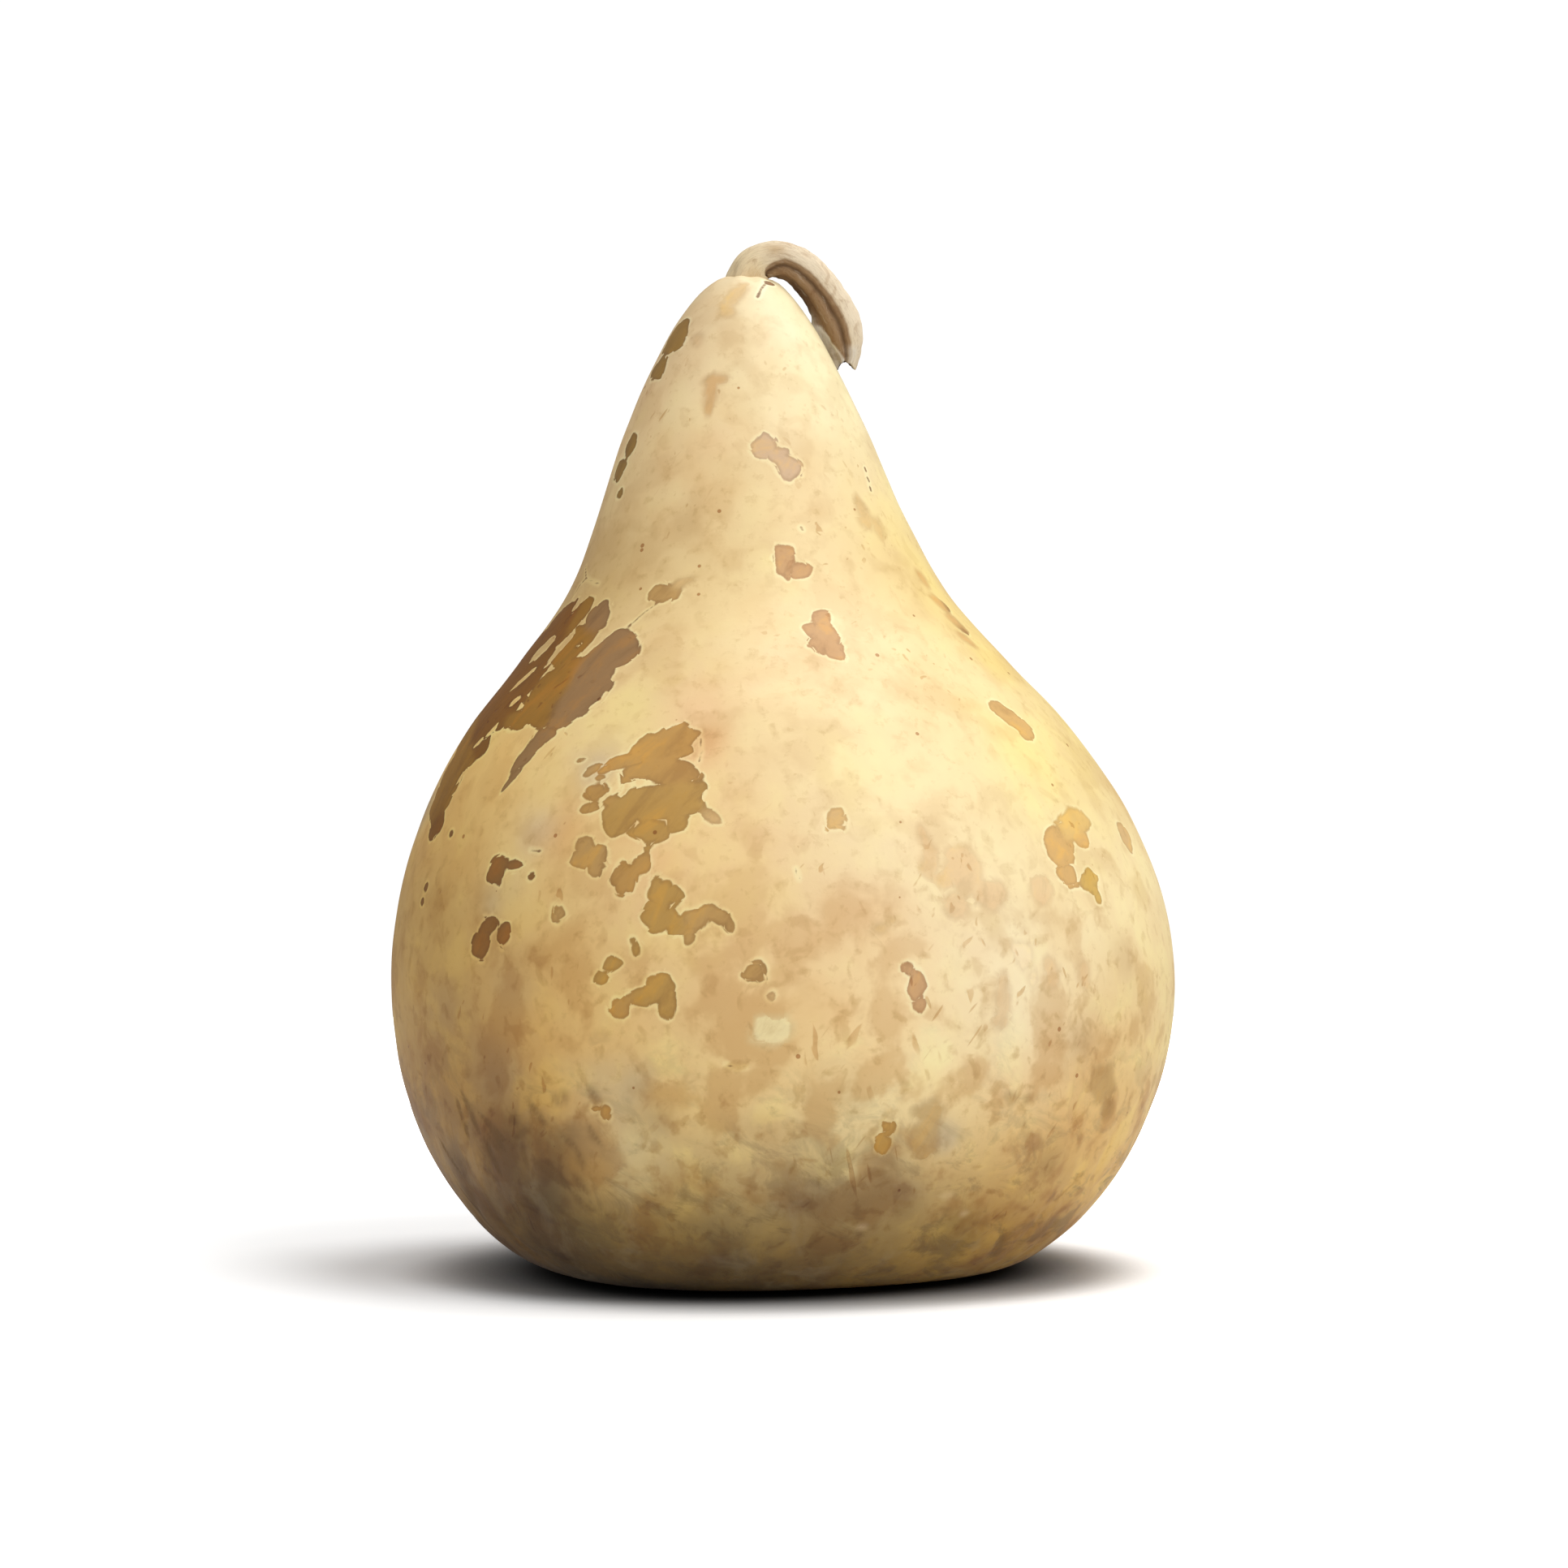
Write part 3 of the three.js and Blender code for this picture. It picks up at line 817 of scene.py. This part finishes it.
def rindMaterial():
    material, tree, shader, places = newMaterial("mottledRind")
    height = addNode(tree, "ShaderNodeSeparateXYZ", {"Vector": places}).outputs[2]
    grains = rindLook["grains"]

    def tinted(under, share, name, blend="MULTIPLY"):
        return mixOf(tree, share, under, rindLook["tints"][name], blend)

    # clouding of the ground, from egg-sized to pin-head
    # the ground tone carries painted shade on the left side and the underside, and painted light on the crown
    # and the right side
    ground = attributeOf(tree, "groundAndShadingTone")
    cloud = noiseOf(tree, places, grains["cloud"], 4, 0.6, 0.2)
    ground = tinted(ground, rangeOf(tree, cloud, 0.45, 0.72, 0, 0.34), "dusty")
    ground = tinted(ground, rangeOf(tree, cloud, 0.3, 0.5, 0.5, 0), "sunned", "SOFT_LIGHT")
    mottle = noiseOf(tree, places, grains["mottle"], 4, 0.5, 0.25)
    weather = rangeOf(tree, height, *rindLook["weatherSpan"], *rindLook["weather"])
    darker = mathOf(tree, "MULTIPLY", rangeOf(tree, mottle, 0.49, 0.62), weather)
    ground = tinted(ground, darker, "weathered")
    paler = mathOf(tree, "MULTIPLY", rangeOf(tree, mottle, 0.34, 0.48, 1, 0), weather)
    ground = tinted(ground, paler, "bleached", "SOFT_LIGHT")
    blotch = noiseOf(tree, places, grains["blotch"], 3, 0.5, 0.4)
    darker = mathOf(tree, "MULTIPLY", rangeOf(tree, blotch, 0.54, 0.68), weather)
    ground = tinted(ground, darker, "blotched")
    grain = noiseOf(tree, places, grains["grain"], 4, 0.65)
    ground = tinted(ground, rangeOf(tree, grain, 0.55, 0.7, 0, 0.24), "grainy")

    # the underside is grimy: dark strokes and blotches that fade out upwards
    lifted = mathOf(tree, "MULTIPLY_ADD", mathOf(tree, "SUBTRACT", mottle, 0.5), 0.06, height)
    age = rangeOf(tree, lifted, *rindLook["grimeTop"], 1, 0)
    drawn = stretchedPlaces(tree, places, (1, 1, 0.6), (0, 0.5, 0))
    strokes = noiseOf(tree, drawn, grains["strokes"], 5, 0.65, 0.6)
    grime = mathOf(tree, "MULTIPLY", rangeOf(tree, strokes, 0.48, 0.64), age)
    ground = tinted(ground, mathOf(tree, "MULTIPLY", grime, 0.5), "grimy", "MIX")
    ash = noiseOf(tree, places, grains["ash"], 4, 0.6, 0.5)
    ash = mathOf(tree, "MULTIPLY", rangeOf(tree, ash, 0.54, 0.66), age)
    ground = tinted(ground, mathOf(tree, "MULTIPLY", ash, 0.16), "ashen", "MIX")

    # patches: the listed edges made ragged, with a pale rim outside and a worn look inside
    distance = attributeOf(tree, "patchDistance", "Fac")
    chips = {"Vector": places, "Scale": grains["chips"]}
    cells = addNode(tree, "ShaderNodeTexVoronoi", chips, distance="CHEBYCHEV")
    chance = addNode(tree, "ShaderNodeSeparateColor", {0: cells.outputs["Color"]}).outputs[0]
    jag = mathOf(tree, "SUBTRACT", mathOf(tree, "ADD", chance, cells.outputs["Distance"]), 1.15)
    jag = mathOf(tree, "MULTIPLY", jag, rindLook["edgeJag"])
    fray = noiseOf(tree, places, grains["fray"], 3, 0.6)
    fray = mathOf(tree, "MULTIPLY", mathOf(tree, "SUBTRACT", fray, 0.5), rindLook["edgeGrain"] * 2)
    ragged = mathOf(tree, "ADD", jag, fray)
    ragged = mathOf(tree, "MULTIPLY_ADD", ragged, attributeOf(tree, "patchRag", "Fac"), distance)
    strength = attributeOf(tree, "patchTone", "Alpha")
    soft = rangeOf(tree, strength, 0.6, 0.85, rindLook["faintSoft"], rindLook["edgeSoft"])
    inside = rangeOf(tree, ragged, mathOf(tree, "MULTIPLY", soft, -1), soft, 1, 0)
    rim = rangeOf(tree, ragged, 0.1, rindLook["rimWidth"], 1, 0)
    rim = mathOf(tree, "MULTIPLY", rim, rangeOf(tree, strength, 0.6, 0.9, 0, rindLook["rimShare"]))
    ground = tinted(ground, rim, "rim", "SOFT_LIGHT")
    patch = attributeOf(tree, "patchTone")
    drawn = stretchedPlaces(tree, places, (1, 1, 3), (0, 0.6, 0))
    worn = noiseOf(tree, drawn, grains["worn"], 5, 0.62, 0.4)
    patch = tinted(patch, rangeOf(tree, worn, 0.5, 0.68, 0, 0.55), "wornPale", "SOFT_LIGHT")
    patch = tinted(patch, rangeOf(tree, worn, 0.32, 0.5, 0.4, 0), "wornDark")
    patch = tinted(patch, rangeOf(tree, ragged, -1.1, -0.1, 0, 0.35), "patchEdge")
    cover = mathOf(tree, "MULTIPLY", inside, strength)
    colour = mixOf(tree, cover, ground, patch)

    # short scratches in some areas, and specks
    scratchMask = rangeOf(tree, noiseOf(tree, places, grains["scratched"], 2), 0.5, 0.64)
    scratches = scratchesOf(tree, places, 520, (0, 0.7, 0))
    scratches = mathOf(tree, "MAXIMUM", scratches, scratchesOf(tree, places, 440, (0.3, -0.2, 0)))
    scratches = mathOf(tree, "MULTIPLY", scratches, scratchMask)
    colour = tinted(colour, mathOf(tree, "MULTIPLY", scratches, 0.6), "scratch")
    specks = specksOf(tree, places, grains["specks"], 0.14)
    colour = tinted(colour, mathOf(tree, "MULTIPLY", specks, 0.8), "speck")
    tree.links.new(colour, shader.inputs["Base Color"])

    roughness = mathOf(tree, "MULTIPLY_ADD", grain, 0.16, rindLook["roughness"] - 0.08)
    spread = rindLook["patchRoughness"] - rindLook["roughness"]
    roughness = mathOf(tree, "MULTIPLY_ADD", inside, spread, roughness)
    tree.links.new(roughness, shader.inputs["Roughness"])
    shader.inputs["Specular IOR Level"].default_value = rindLook["specular"]

    relief = mathOf(tree, "MULTIPLY", mottle, 0.35)
    relief = mathOf(tree, "MULTIPLY_ADD", grain, 0.12, relief)
    relief = mathOf(tree, "MULTIPLY_ADD", inside, -0.1, relief)
    relief = mathOf(tree, "MULTIPLY_ADD", scratches, -0.12, relief)
    relief = mathOf(tree, "MULTIPLY_ADD", grime, -0.12, relief)
    addBump(tree, shader, relief, rindLook["bump"])
    return material


stemLook = {"specular": 0.25, "bump": 0.8, "fibreStretch": 11}


def stemMaterial():
    material, tree, shader, places = newMaterial("dryStem")
    fibres = attributeOf(tree, "fibrePlace", "Vector")  # the stem straightened out, so fibres follow it
    drawn = stretchedPlaces(tree, fibres, (1, 1, stemLook["fibreStretch"]))
    strands = noiseOf(tree, drawn, 1.5, 5, 0.7, 0.2)
    fine = noiseOf(tree, drawn, 5.5, 4, 0.7)
    mould = noiseOf(tree, places, 260, 4, 0.6, 0.6)
    colour = attributeOf(tree, "barkTone")
    colour = mixOf(tree, rangeOf(tree, strands, 0.5, 0.7, 0, 0.36), colour, (186, 154, 116), "MULTIPLY")
    colour = mixOf(tree, rangeOf(tree, strands, 0.3, 0.46, 0.22, 0), colour, (240, 228, 204))
    colour = mixOf(tree, rangeOf(tree, fine, 0.52, 0.68, 0, 0.26), colour, (166, 132, 96), "MULTIPLY")
    colour = mixOf(tree, rangeOf(tree, mould, 0.54, 0.68, 0, 0.35), colour, (186, 150, 104), "MULTIPLY")
    specks = specksOf(tree, places, 700, 0.14)
    colour = mixOf(tree, mathOf(tree, "MULTIPLY", specks, 0.5), colour, (84, 58, 34))
    tree.links.new(colour, shader.inputs["Base Color"])
    roughness = mathOf(tree, "MULTIPLY_ADD", fine, 0.2, 0.6)
    tree.links.new(roughness, shader.inputs["Roughness"])
    shader.inputs["Specular IOR Level"].default_value = stemLook["specular"]
    relief = mathOf(tree, "MULTIPLY_ADD", fine, 0.35, strands)
    relief = mathOf(tree, "MULTIPLY_ADD", mould, 0.3, relief)
    addBump(tree, shader, relief, stemLook["bump"])
    return material


def bellOver(angle, middle, width):
    # 1 in a direction round the stem, fading out on both sides of it, all in degrees
    gap = (angle - middle + 180) % 360 - 180
    return np.exp(-((gap / width) ** 2))


def stemShape(angle, along):
    # the stem's radius against its girth: a broad outer band, grooves, an inner lip and a flared foot
    bandEdge = np.interp(along, *stem["bandEdge"])
    brown = smoothStep(along, *stem["browning"])
    radius = 1 + 0.05 * bellOver(angle, 18, 44)
    for past, lift, width in stem["ridges"]:
        radius += lift * brown * bellOver(angle, bandEdge + past, width)
    for middle, depth in stem["backGrooves"]:
        radius -= depth * bellOver(angle, middle + 14 * np.sin(5 * along + middle), 9)
    radius -= 0.08 * (1 - smoothStep(along, 0, 0.3)) * bellOver(angle, 35, 10)
    lip = stem["lip"]
    radius += lip["height"] * smoothStep(along, *lip["span"]) * bellOver(angle, lip["at"], lip["width"])
    flare = stem["flare"]
    foot = np.exp(-((along / flare["reach"]) ** 2))
    radius += flare["height"] * foot * (1 + 0.35 * np.cos(np.radians(flare["folds"] * angle)))
    return radius


def stemPaint(angle, along):
    # the stem's colours by direction and by the share of its length
    paint = np.tile(toLinear(*stemTones["pale"]), (len(angle), 1))

    def lay(name, share):
        nonlocal paint
        paint = paint + share[:, None] * (toLinear(*stemTones[name]) - paint)

    bandEdge = np.interp(along, *stem["bandEdge"])
    brown = smoothStep(along, *stem["browning"])
    inner = smoothStep(angle, bandEdge - 3, bandEdge + 4) * (1 - smoothStep(angle, 285, 300))
    lay("footWarm", 1 - smoothStep(along, 0.1, 0.3))
    lay("stain", 0.6 * bellOver(angle, 60, 22) * np.exp(-(((along - 0.25) / 0.05) ** 2)))
    lay("stain", 0.5 * bellOver(angle, 105, 30) * (1 - smoothStep(along, 0.06, 0.16)))
    lay("brown", inner * brown)
    # painted shade: a dark line along the groove past the pale band's edge
    lay("dark", 0.62 * brown * bellOver(angle, bandEdge + 22, 8))
    shadowed = np.exp(-(((along - 0.5) / 0.2) ** 2))
    lay("dark", 0.75 * brown * shadowed * smoothStep(angle, bandEdge + 40, bandEdge + 70) * (angle < 290))
    flapEdge = np.interp(along, *stem["flapEdge"])
    flap = smoothStep(along, *stem["flapStart"])
    lay("grey", 0.85 * flap * smoothStep(angle, flapEdge - 3, flapEdge + 3) * (angle < 240))
    # the flap's raised lip and its edge are near white: the membrane's pale torn edge, with a painted
    # highlight along it
    lay("lip", 0.9 * flap * bellOver(angle, 172, 14))
    lay("lip", 0.9 * smoothStep(along, 0.7, 0.74) * bellOver(angle, flapEdge, 4))
    lay("lip", 0.6 * smoothStep(along, 0.86, 0.93) * bellOver(angle, 55, 22))
    return paint


def grownStem(crown):
    # a straight tube from a spun line, then bent along the route
    rows = np.linspace(0, 1, stem["rows"])
    bm = spunMesh([(1, along) for along in rows], stem["steps"])
    places = placesOf(bm)
    angle = np.degrees(np.arctan2(places[:, 1], places[:, 0])) % 360
    along = places[:, 2]
    route = evenly(curveThrough(stem["route"], 40), 800)
    heading = np.gradient(route, axis=0)
    heading /= np.linalg.norm(heading, axis=1)[:, None]
    girths = curveThrough([(i, share) for i, share in enumerate(stem["girths"])], 20)
    girth = stem["radius"] * np.interp(along * (len(stem["girths"]) - 1), girths[:, 0], girths[:, 1])

    # the end is torn: two points with a notch between them
    tear = stem["tear"] * np.sin(np.radians(angle)) ** 2 + 0.004 * np.sin(np.radians(9 * angle))
    reached = along * (1 - tear * smoothStep(along, 0.8, 1))
    share = reached * (len(route) - 1)
    onRoute = np.stack([np.interp(share, np.arange(len(route)), route[:, i]) for i in range(3)], axis=1)
    forward = np.stack([np.interp(share, np.arange(len(route)), heading[:, i]) for i in range(3)], axis=1)
    outward = np.cross(forward, (0, 1, 0))
    outward /= np.linalg.norm(outward, axis=1)[:, None]
    back = np.cross(outward, forward)
    radius = girth * stemShape(angle, along)
    turned = np.radians(angle)
    bent = onRoute + crown
    bent += outward * (radius * np.cos(turned))[:, None]
    bent -= back * (radius * stem["depth"] * np.sin(turned))[:, None]
    paint = stemPaint(angle, along)
    straight = np.stack(
        (fibreRadius * np.cos(turned), fibreRadius * np.sin(turned), fibreLength * along), axis=1,
    )
    bent += outward * (stem["wander"] * noiseAt(straight, 2.4, 8.8))[:, None]
    moveTo(bm, bent)
    return bm, paint, straight


def closeEnds(bm, crown):
    # the foot is closed flat inside the crown, the torn end goes in as a hollow
    openEdges = [edge for edge in bm.edges if edge.is_boundary]
    endTop = crown[2] - stem["endBelow"]
    foot = [edge for edge in openEdges if edge.verts[0].co.z > endTop]
    end = [edge for edge in openEdges if edge.verts[0].co.z <= endTop]
    bmesh.ops.holes_fill(bm, edges=foot, sides=0)
    verts = list({vert for edge in end for vert in edge.verts})
    middle = sum((vert.co for vert in verts), Vector()) / len(verts)
    for shrink, lift in ((0.72, 0.2), (0.55, stem["hollow"])):
        grown = bmesh.ops.extrude_edge_only(bm, edges=end)
        verts = [item for item in grown["geom"] if isinstance(item, bmesh.types.BMVert)]
        end = [item for item in grown["geom"] if isinstance(item, bmesh.types.BMEdge) and item.is_boundary]
        for vert in verts:
            vert.co = middle + (vert.co - middle) * shrink + Vector((-0.12, 0, 1)) * lift
        middle = sum((vert.co for vert in verts), Vector()) / len(verts)
    bmesh.ops.holes_fill(bm, edges=end, sides=0)
    bmesh.ops.triangulate(bm, faces=[face for face in bm.faces if len(face.verts) > 4])
    bmesh.ops.recalc_face_normals(bm, faces=bm.faces)


def makeFruit():
    bm = grownFruit()
    tree = BVHTree.FromBMesh(bm)
    marks = plannedMarks(tree)
    finerAtEdges(bm, marks)
    places = placesOf(bm)
    distance, tone, rag = patchField(places, marks)
    ground = groundAndShadingField(places, tree)
    roughened(bm)
    piece = asObject(bm, "rind_of_gourd", rindMaterial())
    writeValues(piece.data, "patchDistance", distance)
    writeValues(piece.data, "patchRag", rag)
    writeColours(piece.data, "patchTone", tone)
    writeColours(piece.data, "groundAndShadingTone", ground)
    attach(piece, "root")
    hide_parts("gourd_fruit")
    print("fruit made:", len(piece.data.vertices), "points")


def makeStem():
    crown = np.array((*[float(v) for v in middleAt(1)], fruit["crownHeight"]))
    bm, paint, straight = grownStem(crown)
    count = len(bm.verts)
    closeEnds(bm, crown)
    extra = len(bm.verts) - count
    paint = np.vstack((paint, np.tile(toLinear(*stemTones["dark"]), (extra, 1))))
    straight = np.vstack((straight, np.tile((0, 0, fibreLength), (extra, 1))))
    piece = asObject(bm, "hooked_stem", stemMaterial())
    writeColours(piece.data, "barkTone", paint)
    writeValues(piece.data, "fibrePlace", straight, "FLOAT_VECTOR", "vector")
    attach(piece, "root")
    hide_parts("stem")
    print("stem made:", len(piece.data.vertices), "points")


studio = {
    "floorRadius": 1100,  # millimetres; the other lengths here are in metres
    "paper": 0.93,  # how pale the floor looks
    "paperBounce": 0.8,  # how much light it sends back up
    "contactReach": 0.027,  # the floor darkens this close to the fruit
    "contactShade": 0.04,  # how pale the floor is where they touch
    "shadowLift": 0.2,  # beyond that reach the shadow is this much paler
    "glowFrom": 0.12,  # beyond this distance from the middle the floor fades out to white
    "glowTo": 0.34,
    "glow": 0.9,
    "worldLight": 0.3,
    "backdrop": 1.05,  # how bright the air looks to the camera
    "key": {"place": (0.95, -0.85, 1.15), "size": 1.2, "power": 14.5},
    "fill": {"place": (-1.1, -0.9, 0.9), "size": 1.2, "power": 5},
    "overhead": {"place": (0.35, 0.2, 1.45), "size": 0.7, "power": 10.5},
    "aim": (0, 0, 0.1),
    "lens": 100,
    "sensor": 36,
}


def addLight(name, place, size, power):
    lamp = bpy.data.lights.new(name, "AREA")
    lamp.shape = "DISK"
    lamp.size = size
    lamp.energy = power
    lampObject = inScene(name, lamp)
    lampObject.location = place
    lampObject.rotation_euler = (Vector(studio["aim"]) - Vector(place)).to_track_quat("-Z", "Y").to_euler()


def makeStudio():
    scene = bpy.context.scene
    bm = bmesh.new()
    bmesh.ops.create_circle(bm, cap_ends=True, segments=96, radius=studio["floorRadius"])
    floorPaper = bpy.data.materials.new("whitePaper")
    floorPaper.use_nodes = True
    tree = floorPaper.node_tree
    tree.nodes.clear()
    bounce = addNode(tree, "ShaderNodeBsdfDiffuse", {"Color": (*[studio["paperBounce"]] * 3, 1)}).outputs[0]
    reach = {"Distance": studio["contactReach"]}
    openness = addNode(tree, "ShaderNodeAmbientOcclusion", reach, samples=24).outputs["AO"]
    shade = rangeOf(tree, openness, 0, 0.86, studio["contactShade"], studio["paper"])
    shade = addNode(tree, "ShaderNodeCombineColor", {0: shade, 1: shade, 2: shade}).outputs[0]
    paper = addNode(tree, "ShaderNodeBsdfDiffuse", {"Color": shade}).outputs[0]
    places = addNode(tree, "ShaderNodeTexCoord", {}).outputs["Object"]
    away = addNode(tree, "ShaderNodeVectorMath", {0: places}, operation="LENGTH").outputs["Value"]
    glow = rangeOf(tree, away, studio["glowFrom"], studio["glowTo"], 0, studio["glow"])
    lift = rangeOf(tree, openness, 0.4, 0.98, 0, studio["shadowLift"])
    glow = addNode(tree, "ShaderNodeEmission", {"Strength": mathOf(tree, "ADD", glow, lift)}).outputs[0]
    seen = addNode(tree, "ShaderNodeAddShader", {0: paper, 1: glow}).outputs[0]
    ray = addNode(tree, "ShaderNodeLightPath", {})
    both = addNode(tree, "ShaderNodeMixShader", {0: ray.outputs["Is Camera Ray"], 1: bounce, 2: seen})
    addNode(tree, "ShaderNodeOutputMaterial", {0: both.outputs[0]})
    floor = asObject(bm, "studioFloor", floorPaper)

    world = bpy.data.worlds.new("studioAir")
    scene.world = world
    world.use_nodes = True
    tree = world.node_tree
    tree.nodes.clear()
    soft = addNode(tree, "ShaderNodeBackground", {"Strength": studio["worldLight"]})
    seen = addNode(tree, "ShaderNodeBackground", {"Strength": studio["backdrop"]})
    for background in (soft, seen):
        background.inputs["Color"].default_value = (1, 1, 1, 1)
    ray = addNode(tree, "ShaderNodeLightPath", {})
    airs = {0: ray.outputs["Is Camera Ray"], 1: soft.outputs[0], 2: seen.outputs[0]}
    mixed = addNode(tree, "ShaderNodeMixShader", airs)
    addNode(tree, "ShaderNodeOutputWorld", {0: mixed.outputs[0]})

    for name in ("key", "fill", "overhead"):
        addLight(name + "Light", **studio[name])
    scene.view_settings.view_transform = "Standard"

    camera = bpy.data.cameras.new("frontCamera")
    camera.lens = studio["lens"]
    camera.sensor_width = studio["sensor"]
    camera.clip_end = 20
    cameraObject = inScene("frontCamera", camera)
    cameraObject.location = eye * millimetre
    cameraObject.rotation_euler = (math.pi / 2, 0, 0)
    scene.camera = cameraObject
    print("studio made")


makeStudio()
makeFruit()
makeStem()
